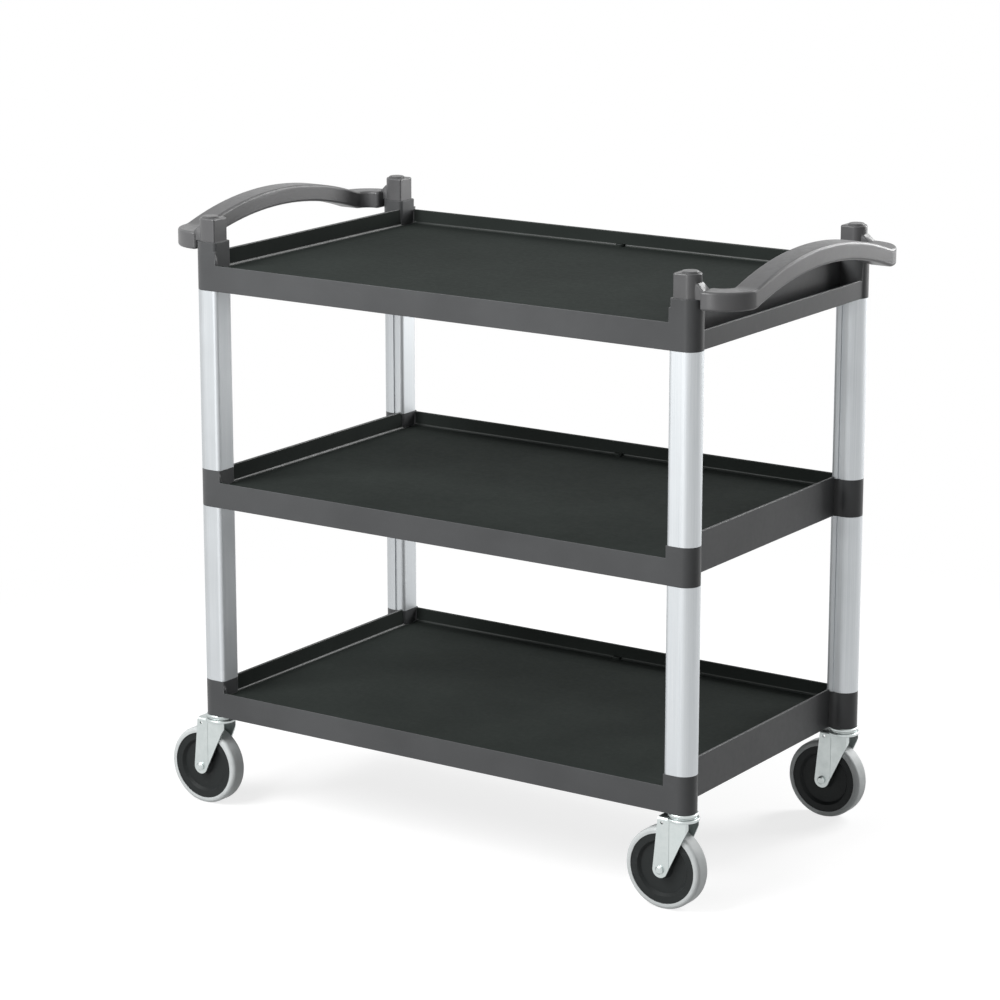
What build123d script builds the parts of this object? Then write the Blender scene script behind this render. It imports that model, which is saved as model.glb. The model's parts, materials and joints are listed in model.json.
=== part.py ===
"""Three-shelf utility cart: moulded shelves, aluminium posts, two bow handles and four swivel casters.

Millimetres, +Z up.  X runs along the cart and the low loading lip of each shelf faces -Y.
The pieces are drawn about the middle of the four posts.  The finished cart is then moved along X,
so that the origin lies on the floor under the middle of the overall box.
"""
import os
from math import ceil, radians, tan

from build123d import *

# Frame: size over the posts and spacing of the shelves
length_over_posts = 910.0
width_over_posts = 540.0
shelf_pitch = 347.0

# Posts: extruded D-shaped tube, half round towards the cart's end, with a groove on its inner long-side face
post_x = 44.5
post_y = 42.0
post_inner_radius = 7.0
post_wall = 2.2
post_groove_width = 5.0
post_groove_depth = 2.0

# Shelves: heights are above a shelf's own bottom edge
corner_height = 60.0
lip_height = 41.0
end_wall_height = 63.0
rear_wall_height = 58.0
deck_height = 35.0
deck_thickness = 3.5
end_wall_inset = 37.0
wall_foot = 5.5
wall_draft = 3.0
skirt_wall = 4.0
tray_corner_radius = 8.0
tray_foot_radius = 4.0
wall_top_radius = 1.2
rib_spacing = 92.0
rib_thickness = 2.5
rib_depth = 20.0
drain_boss_radius = 7.0
drain_boss_height = 5.0

# Spigots that stand on the corner blocks and fit inside the posts
spigot_length = 28.0
spigot_wall = 4.0
spigot_clearance = 0.25

# Top shelf: corner towers under the handles, and an end bumper with a trough behind it
tower_height = 76.0
bumper_height = 29.0
bumper_wall = 4.0
bumper_setback = 3.5
trough_floor = 3.5

# Handles: a bow whose ends are collars that stand on the towers
handle_arm = 7.0
handle_width = 38.0
handle_thickness = 28.0
handle_arch = 34.0
handle_end_radius = 57.0
handle_side_inset = 8.0
handle_drop = 15.0
handle_blend = 40.0
handle_edge_radius = 4.0
arm_corner_radius = 6.0
collar_height = 36.5
collar_inset = 4.0
collar_edge_radius = 2.5
gusset_width = 20.0
gusset_height = 10.0
gusset_reach = 10.0
seat_gap = 0.3

# Tie rods that clamp shelves, posts and handles together, with their nuts, washers and caps
rod_radius = 4.0
rod_hole_clearance = 0.5
rod_over_nut = 2.0
nut_across_flats = 13.0
nut_height = 6.5
washer_radius = 8.0
washer_thickness = 1.6
counterbore_radius = 10.5
counterbore_depth = 14.0
cap_radius = 13.0
cap_dome = 2.5
cap_edge = 1.5
cap_skirt_depth = 4.0
cap_skirt_wall = 1.6
cap_clearance = 0.15

# Casters: the trail is from the swivel axis to the axle, the clearance from the wheel up to the crown
caster_trail = 27.0
wheel_clearance = 16.5
wheel_radius = 63.5
tyre_width = 30.0
tyre_depth = 9.0
tyre_shoulder = 6.0
core_rim_depth = 11.0
core_rim_inset = 1.0
core_recess = 5.0
core_step = 4.0
core_hub_radius = 14.0
core_hub_width = 34.0
core_tongue_width = 8.0
core_tongue_depth = 3.0
bond_gap = 0.05
running_gap = 0.05
hub_side_gap = 0.6

# Fork: a pressed channel with a round crown, its legs folded inwards ahead of a crease
fork_sheet = 3.0
fork_foot_radius = 12.5
fork_tail = 4.5
fork_nose = 21.0
fork_shoulder = 8.0
fork_bend_radius = 5.0
fork_crease_angle = 5.0
fork_crease_from_axle = 15.0
fork_hole_radius = 2.4
fork_hole_drop = 9.0
fork_hole_from_axle = 2.5
crown_radius = 25.0
crown_rim = 5.2
crown_rim_radius = 2.0
head_height = 7.5

# Caster head, stem and swivel bearing
stem_radius = 6.0
stem_length = 28.0
flange_radius = 23.0
flange_thickness = 5.0
flange_edge = 1.2
bearing_radius = 21.0
bearing_inner_radius = 10.0
rivet_radius = 10.0
rivet_height = 3.0
socket_radius = 11.0
socket_length = 50.0
socket_flange_radius = 15.0
socket_flange = 3.0
socket_gap = 0.1

# Axle: bolt, nut and the sleeve that the wheel turns on
axle_radius = 4.0
axle_gap = 0.1
sleeve_wall = 2.4
axle_head_radius = 6.5
axle_head_height = 4.5
axle_head_edge = 2.0
axle_nut_across_flats = 13.0
axle_nut_height = 4.0

# Places worked out from the sizes above
post_end = length_over_posts / 2
post_side = width_over_posts / 2
post_axis_x = post_end - post_y / 2
post_axis_y = post_side - post_y / 2
post_flat = post_x - post_y / 2
block_face_x = post_end - post_x
block_face_y = post_side - post_y
end_wall_x = post_end - end_wall_inset
crown_under = 2 * wheel_radius + wheel_clearance
crown_top = crown_under + fork_sheet
caster_height = crown_top + head_height
shelf_bottoms = [caster_height + level * shelf_pitch for level in range(3)]
post_length = shelf_pitch - corner_height
tower_top = shelf_bottoms[2] + tower_height
collar_top = tower_top + collar_height
nut_seat = collar_top - counterbore_depth
rod_foot = caster_height + stem_length + rod_over_nut
rod_end = nut_seat + washer_thickness + nut_height + rod_over_nut
rod_hole = rod_radius + rod_hole_clearance
core_radius = wheel_radius - tyre_depth
sleeve_radius = axle_radius + axle_gap + sleeve_wall
fork_gap = core_hub_width + 2 * hub_side_gap
fork_width = fork_gap + 2 * fork_sheet
handle_overhang = handle_arm + handle_end_radius

# How far a cut runs past a face, and the slack when an edge is picked by its place
overshoot = 10.0
pick_slack = 0.01

# The origin moves from the middle of the posts to the middle of the overall box
wheel_reach = post_axis_x + caster_trail + wheel_radius
handle_reach = post_end + handle_overhang
box_shift = (wheel_reach - handle_reach) / 2

corners = {
    "front_left": (-1, -1),
    "front_right": (1, -1),
    "rear_left": (-1, 1),
    "rear_right": (1, 1),
}


def block(low, high):
    """Box between two corner points."""
    size = [b - a for a, b in zip(low, high)]
    return Pos(*low) * Box(*size, align=(Align.MIN, Align.MIN, Align.MIN))


def rod(radius, low, high):
    """Upright cylinder between two heights."""
    return Pos(0, 0, low) * Cylinder(radius, high - low, align=(Align.CENTER, Align.CENTER, Align.MIN))


def to_corner(solid, corner):
    """Copy of a solid drawn for the rear right corner, mirrored into another corner."""
    side_x, side_y = corners[corner]
    if side_x < 0:
        solid = mirror(solid, about=Plane.YZ)
    if side_y < 0:
        solid = mirror(solid, about=Plane.XZ)
    return solid


def post_outline():
    """Outer section of a post about the axis of its half-round end, which looks towards +X."""
    half = post_y / 2
    edges = [
        Line((-post_flat, -half), (0, -half)),
        ThreePointArc((0, -half), (half, 0), (0, half)),
        Line((0, half), (-post_flat, half)),
        Line((-post_flat, half), (-post_flat, -half)),
    ]
    outline = make_face(edges)
    return fillet(outline.vertices().group_by(Axis.X)[0], post_inner_radius)


def groove_outline(growth):
    """Groove in the face of a post that looks across the cart, grown by a wall."""
    depth = post_groove_depth + growth
    middle_x = (post_inner_radius - post_flat) / 2
    middle_y = (depth - post_y) / 2
    return Pos(middle_x, middle_y) * Rectangle(post_groove_width + 2 * growth, depth)


def post_cavity(clearance):
    """Hollow of a post, drawn in by a clearance."""
    cavity = offset(post_outline(), -(post_wall + clearance))
    return cavity - groove_outline(post_wall + clearance)


def make_post():
    """Rear right post with its foot at z = 0."""
    section = post_outline() - groove_outline(0) - post_cavity(0)
    return Pos(post_axis_x, post_axis_y, 0) * extrude(section, post_length)


def corner_block(height):
    """Corner block of the rear right post, from the shelf's bottom edge up."""
    return Pos(post_axis_x, post_axis_y, 0) * extrude(post_outline(), height)


def spigot(foot):
    """Hollow spigot inside the rear right post, standing on a height."""
    outer = post_cavity(spigot_clearance)
    inner = offset(post_cavity(spigot_clearance), -spigot_wall)
    return Pos(post_axis_x, post_axis_y, foot) * extrude(outer - inner, spigot_length)


def tray_hollow():
    """Loading space above the deck: walls with draft and a rounded foot."""
    length = 2 * (end_wall_x - wall_foot)
    width = width_over_posts - 2 * wall_foot
    floor = Pos(0, 0, deck_height) * RectangleRounded(length, width, tray_corner_radius)
    hollow = extrude(floor, end_wall_height - deck_height + overshoot, taper=-wall_draft)
    return fillet(hollow.edges().group_by(Axis.Z)[0], tray_foot_radius)


def deck_ribs():
    """Crossed stiffening ribs under the deck."""
    top = deck_height - deck_thickness / 2
    foot = deck_height - deck_thickness - rib_depth
    reach_x = end_wall_x - skirt_wall / 2
    reach_y = post_side - skirt_wall / 2
    half = rib_thickness / 2
    cells_x = ceil(2 * reach_x / rib_spacing)
    cells_y = ceil(2 * reach_y / rib_spacing)
    ribs = []
    for index in range(1, cells_x):
        x = -reach_x + index * 2 * reach_x / cells_x
        ribs.append(block((x - half, -reach_y, foot), (x + half, reach_y, top)))
    for index in range(1, cells_y):
        y = -reach_y + index * 2 * reach_y / cells_y
        ribs.append(block((-reach_x, y - half, foot), (reach_x, y + half, top)))
    return ribs


def shelf_tray(under_posts):
    """Deck, three raised walls and the low front lip, notched at the corners where posts stand."""
    tray = extrude(Rectangle(2 * end_wall_x, width_over_posts), end_wall_height)
    under = Rectangle(2 * (end_wall_x - skirt_wall), width_over_posts - 2 * skirt_wall)
    tray -= extrude(under, deck_height - deck_thickness)
    tray -= tray_hollow()
    top = end_wall_height + overshoot
    lip_depth = post_side - wall_foot - tray_corner_radius
    tray -= block((-block_face_x, -post_side - overshoot, lip_height), (block_face_x, -lip_depth, top))
    tray -= block((-block_face_x, lip_depth, rear_wall_height), (block_face_x, post_side + overshoot, top))
    if under_posts:
        notch = block((block_face_x, block_face_y, corner_height), (post_end, post_side + overshoot, top))
        tray -= [to_corner(notch, corner) for corner in corners]
    wall = [edge for edge in tray.edges() if edge.center().Z > end_wall_height - pick_slack]
    tray = fillet(wall, wall_top_radius)
    boss = rod(drain_boss_radius, deck_height - deck_thickness / 2, deck_height + drain_boss_height)
    boss_y = post_side - wall_foot - drain_boss_radius / 2
    return tray + deck_ribs() + Pos(0, boss_y, 0) * boss


def shelf(level):
    """One moulded shelf at z = 0: level 0 is the bottom one and level 2 the top one."""
    height = tower_height if level == 2 else corner_height
    body = shelf_tray(under_posts=level < 2)
    added = []
    removed = []
    for corner in corners:
        added.append(to_corner(corner_block(height), corner))
        if level < 2:
            added.append(to_corner(spigot(height), corner))
        if level > 0:
            added.append(to_corner(spigot(-spigot_length), corner))
        hole = Pos(post_axis_x, post_axis_y, 0) * rod(rod_hole, -overshoot, height + overshoot)
        removed.append(to_corner(hole, corner))
        if level == 0:
            removed.append(to_corner(socket_seat(), corner))
    if level == 2:
        for side in (-1, 1):
            added += end_bumper(side)
    return body + added - removed


def end_bumper(side):
    """Low bumper across one end of the top shelf, with the trough floor that ties it to the end wall."""
    outer = post_end - bumper_setback
    reach = post_axis_y
    bumper = block((outer - bumper_wall, -reach, 0), (outer, reach, bumper_height))
    bumper = fillet(bumper.edges().filter_by(Axis.Y).group_by(Axis.Z)[-1], wall_top_radius)
    floor = block((end_wall_x - skirt_wall / 2, -reach, 0), (outer - bumper_wall / 2, reach, trough_floor))
    pieces = [bumper, floor]
    if side < 0:
        pieces = [mirror(piece, about=Plane.YZ) for piece in pieces]
    return pieces


def socket_seat():
    """Stepped hole in the rear right block of the bottom shelf for the caster socket."""
    seat = rod(socket_radius + socket_gap, -overshoot, socket_length)
    seat += rod(socket_flange_radius + socket_gap, -overshoot, socket_flange)
    return Pos(post_axis_x, post_axis_y, 0) * seat


def handle_plan():
    """Plan of the right handle's bow, a band of constant width with quarter-round ends."""
    start = post_end + seat_gap
    outer = post_end + handle_overhang
    inner = outer - handle_width
    side = post_side - handle_side_inset
    inner_radius = handle_end_radius - handle_width
    bow = Pos((start + outer) / 2, 0) * Rectangle(outer - start, 2 * side)
    bow = fillet(bow.vertices().group_by(Axis.X)[-1], handle_end_radius)
    space = Rectangle(inner - start + overshoot, 2 * (side - handle_width))
    space = Pos((start - overshoot + inner) / 2, 0) * space
    bow -= fillet(space.vertices().group_by(Axis.X)[-1], inner_radius)
    return fillet(bow.vertices().group_by(Axis.X)[0], arm_corner_radius)


def handle_band():
    """Side view of the bow, looking along X: level ends and an arched middle."""
    foot = tower_top - handle_drop
    reach = post_side + overshoot
    bend = post_side - handle_side_inset - handle_end_radius
    low = [(-reach, foot), (-bend, foot), (0, foot + handle_arch), (bend, foot), (reach, foot)]
    high = [(y, z + handle_thickness) for y, z in low]
    edges = []
    for run in (low, high):
        edges.append(Line(run[0], run[1]))
        edges.append(ThreePointArc(run[1], run[2], run[3]))
        edges.append(Line(run[3], run[4]))
    edges.append(Line(low[0], high[0]))
    edges.append(Line(low[-1], high[-1]))
    band = make_face(edges)
    kinks = [corner for corner in band.vertices() if abs(abs(corner.X) - bend) < pick_slack]
    return fillet(kinks, handle_blend)


def collar_gusset():
    """Web that ties the rear right collar to its arm, sloping down to the top of the arm."""
    arm_top = tower_top - handle_drop + handle_thickness
    crest_x = post_end - collar_inset
    top = arm_top + gusset_height
    toe_x = post_end + gusset_reach
    toe = arm_top - handle_edge_radius
    profile = [(post_axis_x, tower_top), (toe_x, tower_top), (toe_x, toe), (crest_x, top), (post_axis_x, top)]
    web = make_face(Polyline(*profile, close=True))
    middle = Plane.XZ.offset(-post_axis_y)
    return extrude(middle * web, gusset_width / 2, both=True)


def handle_collar():
    """Collar that stands on the rear right tower, with the gusset to its arm and the nut's counterbore."""
    collar = Pos(0, 0, tower_top) * extrude(offset(post_outline(), -collar_inset), collar_height)
    collar = fillet(collar.edges().group_by(Axis.Z)[-1], collar_edge_radius)
    hole = rod(rod_hole, tower_top - overshoot, collar_top + overshoot)
    hole += rod(counterbore_radius, nut_seat, collar_top + overshoot)
    place = Pos(post_axis_x, post_axis_y, 0)
    return place * collar + collar_gusset() - place * hole


def make_handle():
    """Right handle: the bow, cut from its plan and its side view, and a collar at each end."""
    foot = tower_top - handle_drop
    plan_height = handle_thickness + handle_arch + 2 * overshoot
    plan = Pos(0, 0, foot - overshoot) * extrude(handle_plan(), plan_height)
    sweep_length = handle_overhang + 2 * overshoot
    side_view = extrude(Plane.YZ.offset(post_end - overshoot) * handle_band(), sweep_length)
    bow = plan & side_view
    bow = fillet(bow.edges() - bow.edges().filter_by(Axis.Z), handle_edge_radius)
    return bow + [to_corner(handle_collar(), "front_right"), handle_collar()]


def hexagon_prism(across_flats, height):
    """Upright hexagon bar standing on z = 0."""
    return extrude(RegularPolygon(across_flats / 2, 6, major_radius=False), height)


def make_tie_rod():
    """Tie rod of the rear right post."""
    return Pos(post_axis_x, post_axis_y, 0) * rod(rod_radius, rod_foot, rod_end)


def make_rod_washer():
    """Washer under the rear right tie rod's nut."""
    ring = rod(washer_radius, nut_seat, nut_seat + washer_thickness)
    ring -= rod(rod_radius + rod_hole_clearance, nut_seat - overshoot, collar_top)
    return Pos(post_axis_x, post_axis_y, 0) * ring


def make_rod_nut():
    """Nut at the top of the rear right tie rod."""
    seat = nut_seat + washer_thickness
    nut = Pos(0, 0, seat) * hexagon_prism(nut_across_flats, nut_height)
    nut -= rod(rod_radius + axle_gap, seat - overshoot, seat + nut_height + overshoot)
    return Pos(post_axis_x, post_axis_y, 0) * nut


def make_cap():
    """Domed plug that closes the rear right collar over the tie rod's nut."""
    skirt_radius = counterbore_radius - cap_clearance
    cap = rod(cap_radius, collar_top, collar_top + cap_dome)
    cap = chamfer(cap.edges().group_by(Axis.Z)[-1], cap_edge)
    skirt = rod(skirt_radius, collar_top - cap_skirt_depth, collar_top)
    skirt -= rod(skirt_radius - cap_skirt_wall, collar_top - cap_skirt_depth - overshoot, collar_top)
    return Pos(post_axis_x, post_axis_y, 0) * (cap + skirt)


def make_socket():
    """Steel insert in the bottom shelf's rear right block: the stem screws in below and the rod above."""
    insert = rod(socket_radius, caster_height, caster_height + socket_length)
    insert += rod(socket_flange_radius, caster_height, caster_height + socket_flange)
    insert -= rod(stem_radius + socket_gap, caster_height - overshoot, rod_foot - rod_over_nut / 2)
    insert -= rod(rod_radius + socket_gap, caster_height, caster_height + socket_length + overshoot)
    return Pos(post_axis_x, post_axis_y, 0) * insert


def make_stem():
    """Threaded stem, round head and riveted kingpin in one turned piece."""
    head = rod(flange_radius, caster_height - flange_thickness, caster_height)
    head = chamfer(head.edges(), flange_edge)
    rivet_top = crown_under - seat_gap
    kingpin = rod(stem_radius, rivet_top - rivet_height, caster_height + stem_length)
    rivet = rod(rivet_radius, rivet_top - rivet_height, rivet_top)
    rivet = chamfer(rivet.edges().group_by(Axis.Z)[0], flange_edge)
    return head + kingpin + rivet


def make_bearing():
    """Ring of the swivel bearing between the stem's head and the fork's crown."""
    foot = crown_top + seat_gap
    top = caster_height - flange_thickness - seat_gap
    return rod(bearing_radius, foot, top) - rod(bearing_inner_radius, foot - overshoot, top + overshoot)


def fork_side():
    """Side view of the fork about the axle: a tapered leg that widens up to the crown."""
    height = crown_top - wheel_radius
    nose = caster_trail + fork_nose
    foot = Circle(fork_foot_radius)
    shoulder = Pos((nose - fork_tail) / 2, height - fork_shoulder / 2) * Rectangle(nose + fork_tail, fork_shoulder)
    return make_hull(foot.edges() + shoulder.edges())


def fork_channel():
    """Flat part of the fork behind the crease, about the axle: two legs and the web that joins them."""
    height = crown_top - wheel_radius
    low = (-fork_foot_radius, -fork_width / 2, -fork_foot_radius)
    channel = block(low, (fork_crease_from_axle, fork_width / 2, height))
    channel = fillet(channel.edges().filter_by(Axis.X).group_by(Axis.Z)[-1], fork_bend_radius)
    low = (-fork_foot_radius - overshoot, -fork_gap / 2, -fork_foot_radius - overshoot)
    space = block(low, (fork_crease_from_axle + overshoot, fork_gap / 2, height - fork_sheet))
    bends = space.edges().filter_by(Axis.X).group_by(Axis.Z)[-1]
    return channel - fillet(bends, fork_bend_radius - fork_sheet)


def fork_fold():
    """Folded front part of the rear leg, about the axle, from the crease to the crown's edge."""
    nose = caster_trail + crown_radius
    turn = tan(radians(fork_crease_angle)) * (nose - fork_crease_from_axle)
    outer = [(fork_crease_from_axle, fork_width / 2), (nose, fork_width / 2 - turn)]
    inner = [(x, y - fork_sheet) for x, y in reversed(outer)]
    panel = make_face(Polyline(*outer, *inner, close=True))
    top = crown_top - wheel_radius - fork_sheet / 2
    return Pos(0, 0, -fork_foot_radius) * extrude(panel, top + fork_foot_radius)


def make_fork():
    """Pressed fork about the swivel axis, trailing towards -X."""
    axle = Pos(-caster_trail, 0, wheel_radius)
    fold = fork_fold()
    legs = fork_channel() + [fold, mirror(fold, about=Plane.XZ)]
    legs = axle * (legs & extrude(Plane.XZ * fork_side(), fork_width, both=True))
    ahead = block((fork_crease_from_axle - caster_trail, -fork_width, 0), (wheel_radius, fork_width, crown_top))
    legs -= ahead - rod(crown_radius - fork_sheet / 2, 0, crown_top)
    crown = rod(crown_radius, crown_top - crown_rim, crown_top)
    crown = fillet(crown.edges(), crown_rim_radius)
    crown -= rod(crown_radius - fork_sheet, 0, crown_under)
    body = legs + crown - rod(stem_radius + running_gap, 0, caster_height)
    bore = Rot(90, 0, 0) * Cylinder(axle_radius + axle_gap, fork_width + overshoot)
    hole = Rot(90, 0, 0) * Cylinder(fork_hole_radius, fork_width + overshoot)
    hole_place = Pos(fork_hole_from_axle - caster_trail, 0, crown_top - fork_hole_drop)
    return body - axle * bore - hole_place * hole


def wheel_place():
    """Turns a solid of revolution drawn about Z onto the axle of a caster."""
    return Pos(-caster_trail, 0, wheel_radius) * Rot(90, 0, 0)


def make_tyre():
    """Grey tyre with rounded shoulders, moulded round the core's tongue."""
    half = tyre_width / 2
    inner = core_radius + bond_gap
    body = rod(wheel_radius, -half, half)
    body = fillet(body.edges(), tyre_shoulder)
    body -= rod(inner, -half - overshoot, half + overshoot)
    groove = core_tongue_width / 2 + bond_gap
    return wheel_place() * (body - rod(core_radius + core_tongue_depth + bond_gap, -groove, groove))


def make_core():
    """Wheel core: rim with a locking tongue, recessed faces and a plain-bored hub."""
    half = tyre_width / 2 - core_rim_inset
    rim_inner = core_radius - core_rim_depth
    web = half - core_recess
    hub = core_hub_width / 2
    tongue = core_tongue_width / 2
    bore = sleeve_radius + running_gap
    side = [
        (bore, hub),
        (core_hub_radius - core_step / 2, hub),
        (core_hub_radius + core_step / 2, web),
        (rim_inner - core_step, web),
        (rim_inner, half),
        (core_radius, half),
        (core_radius, tongue),
        (core_radius + core_tongue_depth, tongue),
    ]
    mirrored = [(r, -h) for r, h in reversed(side)]
    profile = make_face(Polyline(*side, *mirrored, close=True))
    return wheel_place() * revolve(Plane.XZ * profile, Axis.Z)


def make_sleeve():
    """Sleeve clamped between the fork's legs, on which the wheel turns."""
    half = fork_gap / 2
    sleeve = rod(sleeve_radius, -half, half)
    sleeve -= rod(axle_radius + axle_gap, -half - overshoot, half + overshoot)
    return wheel_place() * sleeve


def make_axle():
    """Axle bolt with a low round head towards -Y."""
    half = fork_width / 2
    tail = half + axle_head_height
    shank = rod(axle_radius, -tail, half + axle_head_height / 2)
    head = rod(axle_head_radius, half, half + axle_head_height)
    head = chamfer(head.edges().group_by(Axis.Z)[-1], axle_head_edge)
    return wheel_place() * (shank + head)


def make_axle_nut():
    """Nut on the axle's far end."""
    half = fork_width / 2
    nut = Pos(0, 0, -half - axle_nut_height) * hexagon_prism(axle_nut_across_flats, axle_nut_height)
    nut -= rod(axle_radius + axle_gap, -half - axle_nut_height - overshoot, overshoot)
    return wheel_place() * nut


def main():
    """Makes every node and writes one file for each."""
    nodes = {}
    for level, name in enumerate(("bottom", "middle", "top")):
        nodes[name + "_shelf"] = Pos(0, 0, shelf_bottoms[level]) * shelf(level)

    handle = make_handle()
    nodes["right_handle"] = handle
    nodes["left_handle"] = mirror(handle, about=Plane.YZ)

    post = make_post()
    cap = make_cap()
    tie_rod = make_tie_rod()
    caster = {
        "stem": make_stem(),
        "swivel_bearing": make_bearing(),
        "fork": make_fork(),
        "axle_bolt": make_axle(),
        "axle_nut": make_axle_nut(),
        "axle_sleeve": make_sleeve(),
        "wheel_core": make_core(),
        "wheel_tyre": make_tyre(),
    }
    for corner, (side_x, side_y) in corners.items():
        for level, name in enumerate(("lower", "upper")):
            foot = shelf_bottoms[level] + corner_height
            nodes[f"{name}_post_{corner}"] = Pos(0, 0, foot) * to_corner(post, corner)
        nodes[f"collar_cap_{corner}"] = to_corner(cap, corner)
        nodes[f"tie_rod_{corner}"] = to_corner(tie_rod, corner)
        place = Pos(side_x * post_axis_x, side_y * post_axis_y, 0)
        for name, solid in caster.items():
            nodes[f"caster_{name}_{corner}"] = place * solid
    fours = {
        "tie_rod_nuts": make_rod_nut(),
        "tie_rod_washers": make_rod_washer(),
        "caster_sockets": make_socket(),
    }
    for name, solid in fours.items():
        nodes[name] = [to_corner(solid, corner) for corner in corners]

    os.makedirs("parts", exist_ok=True)
    to_origin = Pos(box_shift, 0, 0)
    for name, shape in nodes.items():
        if isinstance(shape, list):
            shape = Compound(children=[to_origin * solid for solid in shape])
        else:
            shape = to_origin * shape
        export_step(shape, f"parts/{name}.step")


main()
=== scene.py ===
"""Utility cart in a plain studio.

The cart's solids come in as a fixed frame, in metres.  Each operator below finishes one kind of piece,
and the last one sets the floor, the lamps and the camera.
"""

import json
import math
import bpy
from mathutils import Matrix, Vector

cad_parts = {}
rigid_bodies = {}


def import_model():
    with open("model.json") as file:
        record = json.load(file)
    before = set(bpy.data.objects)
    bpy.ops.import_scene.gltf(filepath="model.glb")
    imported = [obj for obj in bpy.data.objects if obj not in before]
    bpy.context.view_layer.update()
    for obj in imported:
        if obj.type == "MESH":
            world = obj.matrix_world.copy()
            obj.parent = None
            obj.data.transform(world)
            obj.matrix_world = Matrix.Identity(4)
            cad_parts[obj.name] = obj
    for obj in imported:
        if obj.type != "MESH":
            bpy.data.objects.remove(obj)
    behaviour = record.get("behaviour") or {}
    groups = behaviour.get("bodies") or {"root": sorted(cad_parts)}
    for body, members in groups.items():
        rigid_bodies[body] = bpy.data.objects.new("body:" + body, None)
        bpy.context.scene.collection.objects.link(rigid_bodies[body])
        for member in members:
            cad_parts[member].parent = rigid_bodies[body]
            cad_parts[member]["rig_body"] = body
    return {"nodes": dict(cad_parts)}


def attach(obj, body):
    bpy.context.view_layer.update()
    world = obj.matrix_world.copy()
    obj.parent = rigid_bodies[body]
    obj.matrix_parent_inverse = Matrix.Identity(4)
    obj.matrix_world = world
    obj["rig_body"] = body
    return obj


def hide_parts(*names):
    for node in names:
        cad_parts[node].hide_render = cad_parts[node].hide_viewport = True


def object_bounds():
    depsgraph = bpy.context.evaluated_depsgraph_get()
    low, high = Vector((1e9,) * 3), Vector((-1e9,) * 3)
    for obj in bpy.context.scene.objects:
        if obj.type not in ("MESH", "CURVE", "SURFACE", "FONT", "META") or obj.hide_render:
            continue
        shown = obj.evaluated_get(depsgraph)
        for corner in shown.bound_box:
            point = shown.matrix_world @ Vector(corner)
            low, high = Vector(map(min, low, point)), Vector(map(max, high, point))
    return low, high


bl_info = {
    "name": "Utility Cart",
    "version": (1, 0, 0),
    "blender": (4, 5, 0),
    "location": "3D View > Sidebar > Cart",
    "description": "Finishes the pieces of a three-shelf utility cart and sets its studio",
    "category": "Object",
}

import bmesh
import bpy
from bpy.props import FloatProperty, FloatVectorProperty, IntProperty, PointerProperty
from mathutils import Vector

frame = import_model()
cad_box = [list(corner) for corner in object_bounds()]

MM = 0.001
WHITE = (1.0, 1.0, 1.0, 1.0)
CORNERS = ("front_left", "front_right", "rear_left", "rear_right")

# A copied solid's points that lie closer than this are one, and its faces that turn by less than this join
SAME_POINT = 0.03 * MM
SAME_FACE = math.radians(0.5)

# Edges that turn by more than this are sharp
SHARP = math.radians(35)

# Shelf edges shorter than this stay as they are, because a round folds over itself there
SHORTEST = 0.3 * MM

# Half the room inside a shelf's walls, up to the inner edge of their tops, and where the corner blocks start
TRAY_HALF_LENGTH = 414.4 * MM
TRAY_HALF_WIDTH = 266.4 * MM
BLOCK_START_LENGTH = 409.0 * MM
BLOCK_START_WIDTH = 226.0 * MM

# The upward part of a face's normal is over the first on the deck, and under the second on a wall
DECK_UPWARD = 0.99
WALL_UPWARD = 0.1

# Places of the tray's two finishes among a shelf's materials; both paint the tray's inside darker as shade
GRAINED = 1
SMOOTH = 2

# The webs between the collars and the arms: their start from the middle, and the heights they span
WEB_START = 447.5 * MM
WEB_FOOT = 938.0 * MM
WEB_TOP = 948.0 * MM

# The webs' side edges turn by more than this.  The edge over the slope turns less, and touches the collar.
WEB_TURN = math.radians(60)

# Noise lies mostly between these values
NOISE_RANGE = {"From Min": 0.3, "From Max": 0.7}

# Numbers of a Mix node's sockets: the two colours that go in, and the one that comes out
FIRST_COLOUR = 6
SECOND_COLOUR = 7
MIXED_COLOUR = 2

# What is added to the rubbing pattern on the rounds, where handling rubs most; it also paints a highlight
# along the rounds
SHEEN_AND_RUB_ON_ROUNDS = 0.22

# The floor is lifted nearly to white, and fades to plain white between two distances from the middle
FLOOR_RADIUS = 40.0
FLOOR_SIDES = 96
FLOOR_LIFT = 0.78
FLOOR_FADE = {"From Min": 0.9, "From Max": 1.7}

# Each lamp's width and height, and its place.  All of them face one point in the cart.
LAMPS = {
    "key": ((1.6, 1.6), (-0.9, -2.1, 2.3)),
    "strip": ((0.25, 2.0), (0.0, -3.6, 1.0)),
    "rim": ((1.0, 1.0), (1.2, 2.0, 1.2)),
    "back": ((1.0, 1.0), (0.9, 3.1, 2.9)),
}
LAMP_AIM = Vector((0.0, 0.0, 0.5))

# Width of the camera's sensor in millimetres
SENSOR_WIDTH = 36.0


def linear(code):
    """Linear red, green and blue of an sRGB hex colour."""
    levels = [int(code[i:i + 2], 16) / 255 for i in (1, 3, 5)]
    return tuple(v / 12.92 if v <= 0.04045 else ((v + 0.055) / 1.055) ** 2.4 for v in levels)


def add(tree, kind, settings=None, **links):
    """Adds a node: settings are its own values or its sockets' values, links feed its sockets."""
    node = tree.nodes.new(kind)
    for name, value in (settings or {}).items():
        if isinstance(name, str) and hasattr(node, name):
            setattr(node, name, value)
        else:
            node.inputs[name].default_value = value
    for name, source in links.items():
        socket = node.inputs[int(name[1:])] if name[1:].isdigit() else node.inputs[name.replace("_", " ")]
        tree.links.new(source, socket)
    return node


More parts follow.
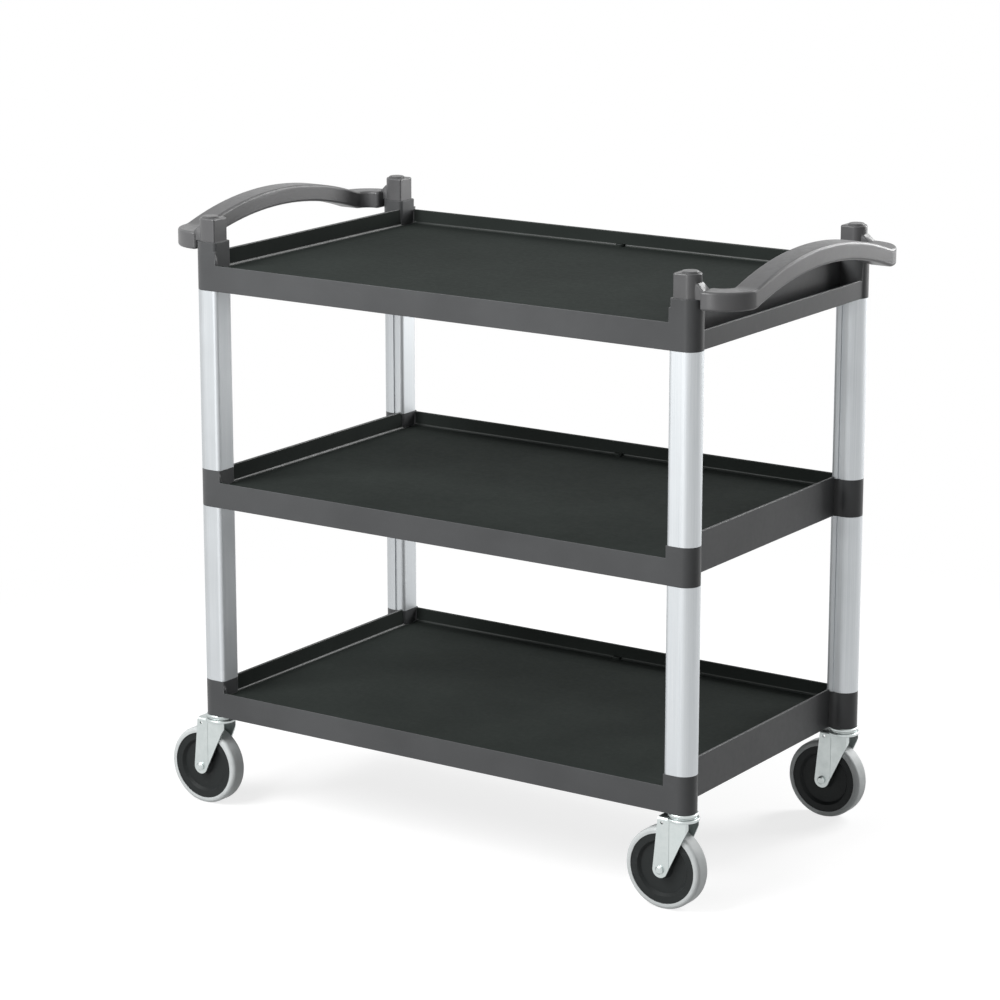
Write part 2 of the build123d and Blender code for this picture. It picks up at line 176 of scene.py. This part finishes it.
def new_material(name):
    """Material with a Principled shader: returns it, its tree, its shader and its Object coordinates."""
    material = bpy.data.materials.new(name)
    material.use_nodes = True
    tree = material.node_tree
    shader = tree.nodes["Principled BSDF"]
    place = add(tree, "ShaderNodeTexCoord").outputs["Object"]
    return material, tree, shader, place


def per_metre(size_mm):
    """Texture scale whose cells are about this many millimetres wide."""
    return 1000.0 / size_mm


def moulded_plastic(name, colour, pale, roughness, grain_mm, grain_depth_mm, specular):
    """Moulded polypropylene or nylon, self-coloured.

    The tool's fine spark-eroded grain spreads the highlights, slow flow in the mould varies the tone,
    and handling leaves paler marks by rubbing. The rounds are painted paler too: partly rubbing wear, partly a
    painted highlight.
    """
    material, tree, shader, place = new_material(name)
    flow = add(tree, "ShaderNodeTexNoise",
               {"Scale": per_metre(160), "Detail": 3.0, "Roughness": 0.55}, Vector=place)
    speck = add(tree, "ShaderNodeTexNoise",
                {"Scale": per_metre(9), "Detail": 4.0, "Roughness": 0.6}, Vector=place)
    stretch = add(tree, "ShaderNodeMapping",
                  {"Scale": (0.35, 2.6, 1.0), "Rotation": (0, 0, 0.35)}, Vector=place)
    rub = add(tree, "ShaderNodeTexNoise", {"Scale": per_metre(28), "Detail": 6.0, "Roughness": 0.7},
              Vector=stretch.outputs["Vector"])
    # The rounds are painted paler from here: partly rubbing wear, partly a painted highlight
    edge = add(tree, "ShaderNodeAttribute", {"attribute_name": "edge"})
    rub_and_sheen = add(tree, "ShaderNodeMath", {"operation": "MULTIPLY_ADD", 1: SHEEN_AND_RUB_ON_ROUNDS},
                 i0=edge.outputs["Fac"], i2=rub.outputs["Fac"])
    rub_and_sheen_mask = add(tree, "ShaderNodeMapRange", {"From Min": 0.58, "From Max": 0.8, "To Max": 0.4},
                   Value=rub_and_sheen.outputs[0])
    tone = add(tree, "ShaderNodeMapRange", {**NOISE_RANGE, "To Min": 0.86, "To Max": 1.12},
               Value=flow.outputs["Fac"])
    base = add(tree, "ShaderNodeMix",
               {"data_type": "RGBA", FIRST_COLOUR: (*colour, 1.0), SECOND_COLOUR: (*pale, 1.0)},
               i0=rub_and_sheen_mask.outputs["Result"])
    toned = add(tree, "ShaderNodeVectorMath", {"operation": "SCALE"},
                i0=base.outputs[MIXED_COLOUR], Scale=tone.outputs["Result"])
    tree.links.new(toned.outputs["Vector"], shader.inputs["Base Color"])
    gloss = add(tree, "ShaderNodeMapRange",
                {**NOISE_RANGE, "To Min": roughness - 0.05, "To Max": roughness + 0.06},
                Value=speck.outputs["Fac"])
    tree.links.new(gloss.outputs["Result"], shader.inputs["Roughness"])
    shader.inputs["Specular IOR Level"].default_value = specular
    shader.inputs["IOR"].default_value = 1.49
    # The real grain is about 0.2 mm wide, too fine to show, so grain_mm draws it coarser
    grain = add(tree, "ShaderNodeTexNoise", {"Scale": per_metre(grain_mm), "Detail": 2.0}, Vector=place)
    bump = add(tree, "ShaderNodeBump", {"Strength": 0.6, "Distance": grain_depth_mm * MM},
               Height=grain.outputs["Fac"])
    tree.links.new(bump.outputs["Normal"], shader.inputs["Normal"])
    return material


def drawn_aluminium(name, colour, dark, roughness):
    """Extruded aluminium, satin anodised.

    The die leaves fine lines along the bar, so the highlights run as long upright streaks.
    """
    material, tree, shader, place = new_material(name)
    lines = add(tree, "ShaderNodeMapping", {"Scale": (1.0, 1.0, 0.004)}, Vector=place)
    # Die lines are about 0.1 mm apart, too fine to show, so they are drawn 0.9 mm apart
    streak = add(tree, "ShaderNodeTexNoise", {"Scale": per_metre(0.9), "Detail": 3.0, "Roughness": 0.6},
                 Vector=lines.outputs["Vector"])
    cloud = add(tree, "ShaderNodeTexNoise", {"Scale": per_metre(70), "Detail": 3.0}, Vector=place)
    blend = add(tree, "ShaderNodeMapRange", {"From Min": 0.35, "From Max": 0.7}, Value=streak.outputs["Fac"])
    base = add(tree, "ShaderNodeMix",
               {"data_type": "RGBA", FIRST_COLOUR: (*colour, 1.0), SECOND_COLOUR: (*dark, 1.0)},
               i0=blend.outputs["Result"])
    tree.links.new(base.outputs[MIXED_COLOUR], shader.inputs["Base Color"])
    gloss = add(tree, "ShaderNodeMapRange",
                {**NOISE_RANGE, "To Min": roughness - 0.04, "To Max": roughness + 0.05},
                Value=cloud.outputs["Fac"])
    tree.links.new(gloss.outputs["Result"], shader.inputs["Roughness"])
    shader.inputs["Metallic"].default_value = 1.0
    bump = add(tree, "ShaderNodeBump", {"Strength": 0.25, "Distance": 0.02 * MM},
               Height=streak.outputs["Fac"])
    tree.links.new(bump.outputs["Normal"], shader.inputs["Normal"])
    return material


def zinc_plate(name, colour, dark, roughness, patch_mm):
    """Pressed or turned steel, bright zinc plated.

    The plating clouds the metal in soft patches, and fine rubbing scratches cross it.
    """
    material, tree, shader, place = new_material(name)
    patch = add(tree, "ShaderNodeTexNoise",
                {"Scale": per_metre(patch_mm), "Detail": 4.0, "Roughness": 0.6}, Vector=place)
    lines = add(tree, "ShaderNodeMapping",
                {"Scale": (1.0, 1.0, 0.06), "Rotation": (0.2, 0.15, 0)}, Vector=place)
    # Rubbing scratches are about 0.05 mm wide, too fine to show, so they are drawn 1.2 mm wide
    scratch = add(tree, "ShaderNodeTexNoise", {"Scale": per_metre(1.2), "Detail": 2.0},
                  Vector=lines.outputs["Vector"])
    blend = add(tree, "ShaderNodeMapRange", {"From Min": 0.35, "From Max": 0.7}, Value=patch.outputs["Fac"])
    base = add(tree, "ShaderNodeMix",
               {"data_type": "RGBA", FIRST_COLOUR: (*colour, 1.0), SECOND_COLOUR: (*dark, 1.0)},
               i0=blend.outputs["Result"])
    tree.links.new(base.outputs[MIXED_COLOUR], shader.inputs["Base Color"])
    gloss = add(tree, "ShaderNodeMapRange",
                {**NOISE_RANGE, "To Min": roughness - 0.06, "To Max": roughness + 0.08},
                Value=patch.outputs["Fac"])
    tree.links.new(gloss.outputs["Result"], shader.inputs["Roughness"])
    shader.inputs["Metallic"].default_value = 1.0
    bump = add(tree, "ShaderNodeBump", {"Strength": 0.3, "Distance": 0.03 * MM},
               Height=scratch.outputs["Fac"])
    tree.links.new(bump.outputs["Normal"], shader.inputs["Normal"])
    return material


def tyre_rubber(name, colour, dust):
    """Grey thermoplastic rubber, moulded and non-marking.

    It is dull and even, with a little floor dust in soft patches.
    """
    material, tree, shader, place = new_material(name)
    patch = add(tree, "ShaderNodeTexNoise",
                {"Scale": per_metre(14), "Detail": 5.0, "Roughness": 0.65}, Vector=place)
    blend = add(tree, "ShaderNodeMapRange", {"From Min": 0.5, "From Max": 0.78, "To Max": 0.6},
                Value=patch.outputs["Fac"])
    base = add(tree, "ShaderNodeMix",
               {"data_type": "RGBA", FIRST_COLOUR: (*colour, 1.0), SECOND_COLOUR: (*dust, 1.0)},
               i0=blend.outputs["Result"])
    tree.links.new(base.outputs[MIXED_COLOUR], shader.inputs["Base Color"])
    gloss = add(tree, "ShaderNodeMapRange", {**NOISE_RANGE, "To Min": 0.48, "To Max": 0.62},
                Value=patch.outputs["Fac"])
    tree.links.new(gloss.outputs["Result"], shader.inputs["Roughness"])
    # The mould leaves grain about 0.3 mm wide, too fine to show, so it is drawn 1.5 mm wide
    grain = add(tree, "ShaderNodeTexNoise", {"Scale": per_metre(1.5), "Detail": 2.0}, Vector=place)
    bump = add(tree, "ShaderNodeBump", {"Strength": 0.4, "Distance": 0.05 * MM}, Height=grain.outputs["Fac"])
    tree.links.new(bump.outputs["Normal"], shader.inputs["Normal"])
    return material


def softened(node, radius, segments, chosen):
    """Copy of a solid's mesh with the chosen sharp edges rounded, shown in the solid's place."""
    source = frame["nodes"][node]
    mesh = source.data.copy()
    mesh.name = node + "_soft"
    mesh.materials.clear()
    bm = bmesh.new()
    bm.from_mesh(mesh)
    bmesh.ops.remove_doubles(bm, verts=bm.verts, dist=SAME_POINT)
    bmesh.ops.dissolve_limit(bm, angle_limit=SAME_FACE, verts=bm.verts, edges=bm.edges)
    sharp = [edge for edge in bm.edges if edge.calc_face_angle(0) > SHARP and chosen(edge)]
    rounded = bmesh.ops.bevel(bm, geom=sharp, offset=radius, offset_type="OFFSET", segments=segments,
                              profile=0.5, affect="EDGES", clamp_overlap=False, material=-1)
    rounds = set(rounded["faces"])
    for face in bm.faces:
        face.smooth = True
        face.material_index = 0
    for edge in bm.edges:
        edge.smooth = edge.calc_face_angle(0) < SHARP or any(face in rounds for face in edge.link_faces)
    # The plastic's material reads this attribute, and paints the rounds paler, partly as rubbing wear and
    # partly as a painted highlight
    wear_and_sheen = bm.verts.layers.float.new("edge")
    for vert in bm.verts:
        vert[wear_and_sheen] = float(all(face in rounds for face in vert.link_faces))
    bm.to_mesh(mesh)
    bm.free()
    piece = bpy.data.objects.new(node + "_soft", mesh)
    bpy.context.scene.collection.objects.link(piece)
    # Large faces lead the shading, so that they look flat up to the rounds
    even = piece.modifiers.new("even_shading", "WEIGHTED_NORMAL")
    even.weight = 100
    even.keep_sharp = True
    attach(piece, source["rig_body"])
    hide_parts(node)
    return piece


def dress(objects, material):
    """Gives objects one material."""
    for thing in objects:
        thing.data.materials.clear()
        thing.data.materials.append(material)


class CartFinish(bpy.types.PropertyGroup):
    """Colours of the cart's materials."""

    shelf_colour: FloatVectorProperty(
        name="Shelf", description="Colour of the moulded shelves",
        subtype="COLOR", default=linear("#494a4b"))
    # This pale colour also paints the rounds of the shelves and handles paler, as a painted highlight
    shelf_rub_and_sheen: FloatVectorProperty(
        name="Shelf rubbed", description="Colour of rubbed marks on the shelves, handles and wheel cores",
        subtype="COLOR", default=linear("#555658"))
    # The decks and the walls' inner faces are painted darker than the shelf's outside: painted shade inside
    # the trays
    shaded_deck_colour: FloatVectorProperty(
        name="Deck", description="Colour of the grained decks",
        subtype="COLOR", default=linear("#2b2f2d"))
    shaded_deck_rub_and_sheen: FloatVectorProperty(
        name="Deck rubbed", description="Colour of rubbed marks on the decks",
        subtype="COLOR", default=linear("#353937"))
    handle_colour: FloatVectorProperty(
        name="Handle", description="Colour of the moulded handles",
        subtype="COLOR", default=linear("#535354"))
    post_colour: FloatVectorProperty(
        name="Post", description="Colour of the aluminium posts",
        subtype="COLOR", default=linear("#c0c3c5"))
    post_line: FloatVectorProperty(
        name="Post line", description="Colour of the drawn lines on the posts",
        subtype="COLOR", default=linear("#b4b8bb"))
    zinc_colour: FloatVectorProperty(
        name="Zinc", description="Colour of the plated steel",
        subtype="COLOR", default=linear("#c6cccb"))
    zinc_cloud: FloatVectorProperty(
        name="Zinc cloud", description="Colour of the clouded plating",
        subtype="COLOR", default=linear("#bac1c0"))
    core_colour: FloatVectorProperty(
        name="Wheel core", description="Colour of the wheel cores",
        subtype="COLOR", default=linear("#202323"))
    tyre_colour: FloatVectorProperty(
        name="Tyre", description="Colour of the tyres",
        subtype="COLOR", default=linear("#c4c8c8"))
    tyre_dust: FloatVectorProperty(
        name="Tyre dust", description="Colour of the dust on the tyres",
        subtype="COLOR", default=linear("#b2b6b6"))


class CartEdges(bpy.types.PropertyGroup):
    """Radii of the pieces' small edges."""

    shelf_radius: FloatProperty(
        name="Shelf edges", description="Radius of the shelves' moulded edges",
        unit="LENGTH", default=0.8 * MM)
    web_radius: FloatProperty(
        name="Web edges", description="Radius of the side edges of the handles' webs",
        unit="LENGTH", default=3.0 * MM)
    segments: IntProperty(
        name="Segments", description="Faces across a rounded edge", default=2, min=1)


class CartStage(bpy.types.PropertyGroup):
    """Camera and lamps."""

    camera_place: FloatVectorProperty(
        name="Camera", description="Where the camera stands",
        subtype="XYZ", unit="LENGTH", default=(2.86185, -4.3484, 1.8137))
    camera_turn: FloatProperty(
        name="Turn", description="Camera's turn about the vertical",
        subtype="ANGLE", default=math.radians(33.861))
    camera_dip: FloatProperty(
        name="Dip", description="How far the camera looks down",
        subtype="ANGLE", default=math.radians(14.006))
    lens: FloatProperty(
        name="Lens", description="Focal length in millimetres on a 36 mm sensor", default=122.4)
    key_power: FloatProperty(
        name="Key", description="Power of the large lamp at the front left",
        subtype="POWER", default=92.0)
    strip_power: FloatProperty(
        name="Strip", description="Power of the narrow upright lamp in front",
        subtype="POWER", default=30.0)
    rim_power: FloatProperty(
        name="Rim", description="Power of the lamp behind the right end",
        subtype="POWER", default=36.0)
    back_power: FloatProperty(
        name="Back", description="Power of the high lamp behind the cart",
        subtype="POWER", default=45.0)
    sky_strength: FloatProperty(
        name="Sky", description="Strength of the light from all round", default=0.17)


class CART_OT_shelves(bpy.types.Operator):
    """Finishes the three moulded shelves"""

    bl_idname = "cart.shelves"
    bl_label = "Shelves"

    def execute(self, context):
        finish = context.scene.cart_finish
        edges = context.scene.cart_edges
        plastic = moulded_plastic("moulded_polypropylene", finish.shelf_colour, finish.shelf_rub_and_sheen,
                                  roughness=0.4, grain_mm=1.6, grain_depth_mm=0.03, specular=0.22)
        # The tray's inside takes a darker colour than the outside, as painted shade
        shaded_grained = moulded_plastic("stippled_polypropylene", finish.shaded_deck_colour, finish.shaded_deck_rub_and_sheen,
                                  roughness=0.78, grain_mm=3.2, grain_depth_mm=0.25, specular=0.04)
        smooth = moulded_plastic("smooth_polypropylene", finish.shaded_deck_colour, finish.shaded_deck_rub_and_sheen,
                                 roughness=0.36, grain_mm=1.6, grain_depth_mm=0.02, specular=0.28)
        shelves = [softened(name, edges.shelf_radius, edges.segments, self.stands_out)
                   for name in ("bottom_shelf", "middle_shelf", "top_shelf")]
        dress(shelves, plastic)
        for shelf in shelves:
            shelf.data.materials.append(shaded_grained)
            shelf.data.materials.append(smooth)
            self.finish_tray(shelf)
        return {"FINISHED"}

    def stands_out(self, edge):
        """Is true for the outer edges that are long enough to round."""
        return edge.is_convex and edge.calc_length() > SHORTEST

    def finish_tray(self, shelf):
        """Gives the deck and the inner walls the stippled finish, and the curve between them the smooth one,
        both painted darker than the outside as shade.
        """
        deck = max(shelf.data.polygons, key=lambda face: face.area * face.normal.z).center
        for face in shelf.data.polygons:
            x = abs(face.center.x - deck.x)
            y = abs(face.center.y)
            inside = x < TRAY_HALF_LENGTH and y < TRAY_HALF_WIDTH and face.center.z > deck.z - MM
            if inside and (x < BLOCK_START_LENGTH or y < BLOCK_START_WIDTH):
                flat = face.normal.z > DECK_UPWARD or abs(face.normal.z) < WALL_UPWARD
                face.material_index = GRAINED if flat else SMOOTH


class CART_OT_handles(bpy.types.Operator):
    """Finishes the bow handles and the caps on their collars"""

    bl_idname = "cart.handles"
    bl_label = "Handles"

    def execute(self, context):
        finish = context.scene.cart_finish
        edges = context.scene.cart_edges
        plastic = moulded_plastic("satin_polypropylene", finish.handle_colour, finish.shelf_rub_and_sheen,
                                  roughness=0.36, grain_mm=1.2, grain_depth_mm=0.02, specular=0.45)
        handles = [softened(name, edges.web_radius, edges.segments, self.on_web)
                   for name in ("left_handle", "right_handle")]
        dress(handles, plastic)
        dress([frame["nodes"]["collar_cap_" + corner] for corner in CORNERS], plastic)
        return {"FINISHED"}

    def on_web(self, edge):
        """Is true for the side edges of the webs between the collars and the arms."""
        middle = (edge.verts[0].co + edge.verts[1].co) / 2
        across = abs(middle.x - sum(corner[0] for corner in cad_box) / 2)
        side = edge.is_convex and edge.calc_face_angle(0) > WEB_TURN
        return side and across > WEB_START and WEB_FOOT < middle.z < WEB_TOP


class CART_OT_posts(bpy.types.Operator):
    """Finishes the eight lengths of aluminium post"""

    bl_idname = "cart.posts"
    bl_label = "Posts"

    def execute(self, context):
        finish = context.scene.cart_finish
        metal = drawn_aluminium("anodised_aluminium", finish.post_colour, finish.post_line, roughness=0.54)
        posts = [frame["nodes"][row + "_post_" + corner] for row in ("lower", "upper") for corner in CORNERS]
        dress(posts, metal)
        return {"FINISHED"}


class CART_OT_fasteners(bpy.types.Operator):
    """Finishes the tie rods, nuts, washers and sockets, and the casters' axles and bearings"""

    bl_idname = "cart.fasteners"
    bl_label = "Fasteners"

    def execute(self, context):
        finish = context.scene.cart_finish
        steel = zinc_plate("zinc_plated_fastener", finish.zinc_colour, finish.zinc_cloud,
                           roughness=0.38, patch_mm=5)
        names = ["tie_rod_nuts", "tie_rod_washers", "caster_sockets"]
        for corner in CORNERS:
            names.append("tie_rod_" + corner)
            for part in ("axle_bolt", "axle_nut", "axle_sleeve", "swivel_bearing"):
                names.append("caster_" + part + "_" + corner)
        dress([frame["nodes"][name] for name in names], steel)
        return {"FINISHED"}


class CART_OT_forks(bpy.types.Operator):
    """Finishes the casters' pressed forks and stem heads"""

    bl_idname = "cart.forks"
    bl_label = "Caster forks"

    def execute(self, context):
        finish = context.scene.cart_finish
        steel = zinc_plate("zinc_plated_pressing", finish.zinc_colour, finish.zinc_cloud,
                           roughness=0.36, patch_mm=16)
        names = ["caster_" + part + "_" + corner for part in ("fork", "stem") for corner in CORNERS]
        dress([frame["nodes"][name] for name in names], steel)
        return {"FINISHED"}


class CART_OT_wheels(bpy.types.Operator):
    """Finishes the wheels' cores and tyres"""

    bl_idname = "cart.wheels"
    bl_label = "Wheels"

    def execute(self, context):
        finish = context.scene.cart_finish
        nylon = moulded_plastic("moulded_nylon", finish.core_colour, finish.shelf_rub_and_sheen,
                                roughness=0.5, grain_mm=1.0, grain_depth_mm=0.03, specular=0.2)
        rubber = tyre_rubber("thermoplastic_rubber", finish.tyre_colour, finish.tyre_dust)
        dress([frame["nodes"]["caster_wheel_core_" + corner] for corner in CORNERS], nylon)
        dress([frame["nodes"]["caster_wheel_tyre_" + corner] for corner in CORNERS], rubber)
        return {"FINISHED"}


class CART_OT_stage(bpy.types.Operator):
    """Sets the floor, the sky, the lamps and the camera"""

    bl_idname = "cart.stage"
    bl_label = "Stage"

    def execute(self, context):
        scene = context.scene
        stage = scene.cart_stage
        scene.view_settings.view_transform = "Standard"
        self.floor(scene)
        self.sky(scene, stage)
        for name, (size, place) in LAMPS.items():
            self.lamp(scene, name, getattr(stage, name + "_power"), size, place)
        self.camera(scene, stage)
        return {"FINISHED"}

    def seen(self, tree):
        """Is true for what the camera, a mirror or a clear piece looks at."""
        path = add(tree, "ShaderNodeLightPath")
        either = add(tree, "ShaderNodeMath", {"operation": "MAXIMUM"},
                     i0=path.outputs["Is Camera Ray"], i1=path.outputs["Is Glossy Ray"])
        every = add(tree, "ShaderNodeMath", {"operation": "MAXIMUM"},
                    i0=either.outputs[0], i1=path.outputs["Is Transmission Ray"])
        return every.outputs[0]

    def floor(self, scene):
        """Round floor that lights as pale grey, and looks white around the cart's shadow."""
        bm = bmesh.new()
        bmesh.ops.create_circle(bm, cap_ends=True, segments=FLOOR_SIDES, radius=FLOOR_RADIUS)
        mesh = bpy.data.meshes.new("floor")
        bm.to_mesh(mesh)
        bm.free()
        floor = bpy.data.objects.new("floor", mesh)
        scene.collection.objects.link(floor)
        material, tree, shader, place = new_material("pale_floor")
        shader.inputs["Base Color"].default_value = (*linear("#959595"), 1.0)
        shader.inputs["Roughness"].default_value = 0.9
        shader.inputs["Specular IOR Level"].default_value = 0.0
        lift = add(tree, "ShaderNodeEmission", {"Color": WHITE, "Strength": FLOOR_LIFT})
        both = add(tree, "ShaderNodeAddShader", None, i0=shader.outputs[0], i1=lift.outputs[0])
        away = add(tree, "ShaderNodeVectorMath", {"operation": "LENGTH"}, i0=place)
        fade = add(tree, "ShaderNodeMapRange", {**FLOOR_FADE, "interpolation_type": "SMOOTHSTEP"},
                   Value=away.outputs["Value"])
        white = add(tree, "ShaderNodeEmission", {"Color": WHITE, "Strength": 1.0})
        pale = add(tree, "ShaderNodeMixShader", None,
                   i0=fade.outputs["Result"], i1=both.outputs[0], i2=white.outputs[0])
        pick = add(tree, "ShaderNodeMixShader", None,
                   i0=self.seen(tree), i1=shader.outputs[0], i2=pale.outputs[0])
        tree.links.new(pick.outputs[0], tree.nodes["Material Output"].inputs["Surface"])
        mesh.materials.append(material)

    def sky(self, scene, stage):
        """Soft light from all round, which looks white."""
        world = bpy.data.worlds.new("studio")
        world.use_nodes = True
        scene.world = world
        tree = world.node_tree
        light = tree.nodes["Background"]
        light.inputs["Color"].default_value = WHITE
        light.inputs["Strength"].default_value = stage.sky_strength
        white = add(tree, "ShaderNodeBackground", {"Color": WHITE, "Strength": 1.0})
        pick = add(tree, "ShaderNodeMixShader", None,
                   i0=self.seen(tree), i1=light.outputs[0], i2=white.outputs[0])
        tree.links.new(pick.outputs[0], tree.nodes["World Output"].inputs["Surface"])

    def lamp(self, scene, name, power, size, place):
        """Flat lamp that faces the cart."""
        data = bpy.data.lights.new(name, "AREA")
        data.energy = power
        data.shape = "RECTANGLE"
        data.size, data.size_y = size
        lamp = bpy.data.objects.new(name, data)
        lamp.location = place
        lamp.rotation_euler = (LAMP_AIM - Vector(place)).to_track_quat("-Z", "Y").to_euler()
        scene.collection.objects.link(lamp)

    def camera(self, scene, stage):
        """Camera at the photograph's viewing angle."""
        data = bpy.data.cameras.new("camera")
        data.sensor_width = SENSOR_WIDTH
        data.lens = stage.lens
        camera = bpy.data.objects.new("camera", data)
        camera.location = stage.camera_place
        camera.rotation_euler = (math.pi / 2 - stage.camera_dip, 0, stage.camera_turn)
        scene.collection.objects.link(camera)
        scene.camera = camera


class CART_PT_panel(bpy.types.Panel):
    """Lists the cart's settings and operators"""

    bl_idname = "CART_PT_panel"
    bl_label = "Utility Cart"
    bl_space_type = "VIEW_3D"
    bl_region_type = "UI"
    bl_category = "Cart"

    def draw(self, context):
        for group in (context.scene.cart_finish, context.scene.cart_edges, context.scene.cart_stage):
            column = self.layout.column(align=True)
            for name in group.__annotations__:
                column.prop(group, name)
        for step in STEPS:
            self.layout.operator(step.bl_idname)


STEPS = (CART_OT_shelves, CART_OT_handles, CART_OT_posts, CART_OT_fasteners, CART_OT_forks, CART_OT_wheels,
         CART_OT_stage)
GROUPS = {"cart_finish": CartFinish, "cart_edges": CartEdges, "cart_stage": CartStage}


def register():
    for group in GROUPS.values():
        bpy.utils.register_class(group)
    for name, group in GROUPS.items():
        setattr(bpy.types.Scene, name, PointerProperty(type=group))
    for step in STEPS:
        bpy.utils.register_class(step)
    bpy.utils.register_class(CART_PT_panel)


def unregister():
    bpy.utils.unregister_class(CART_PT_panel)
    for step in reversed(STEPS):
        bpy.utils.unregister_class(step)
    for name, group in GROUPS.items():
        delattr(bpy.types.Scene, name)
        bpy.utils.unregister_class(group)


def main():
    register()
    bpy.ops.cart.shelves()
    bpy.ops.cart.handles()
    bpy.ops.cart.posts()
    bpy.ops.cart.fasteners()
    bpy.ops.cart.forks()
    bpy.ops.cart.wheels()
    bpy.ops.cart.stage()


if __name__ == "__main__":
    main()
